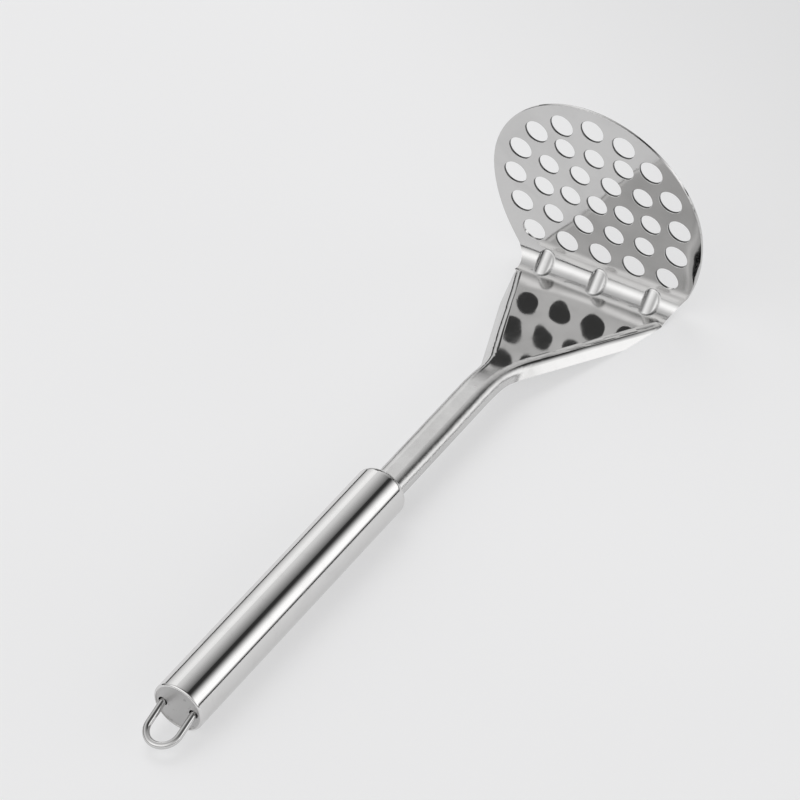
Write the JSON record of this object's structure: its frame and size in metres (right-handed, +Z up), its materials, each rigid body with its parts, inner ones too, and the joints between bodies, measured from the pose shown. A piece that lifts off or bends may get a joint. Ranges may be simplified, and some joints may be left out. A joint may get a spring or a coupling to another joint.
{
  "type": "potato masher",
  "caption": "Potato masher lying on its back: round perforated steel plate bent up from a tapering fan and channel stem, tube handle and swinging wire hanging loop.",
  "frame": {"origin": "on the table, at the middle of the whole outline seen from above, in the mirror plane", "axes": "+Y along the tool from the hanging loop to the mashing plate; +Z up from the table; +X across the plate, to the right when looking from the loop towards the plate"},
  "size_m": [0.085, 0.2747, 0.0801],
  "materials": {
    "pressed_steel": "mirror polished pressed stainless steel with fine polishing lines",
    "tube_steel": "satin stainless tube, fine lines along its length",
    "cap_steel": "matt turned stainless face with a polished rim",
    "inner_steel": "plain mill-finish steel, out of sight",
    "wire_steel": "bright drawn stainless wire"
  },
  "bodies": {
    "masher": {"masher_head": "pressed_steel", "handle_tube": "tube_steel", "rear_end_cap": "cap_steel", "front_end_cap": "cap_steel", "anchor_disc": "inner_steel"},
    "loop": {"hanging_loop": "wire_steel"}
  },
  "joints": [
    {"name": "loop_swing", "type": "hinge", "parent": "masher", "child": "loop", "pos_m": [0, -0.12155, 0.00952], "axis": [1, 0, 0], "range_deg": [-34, 0]}
  ]
}
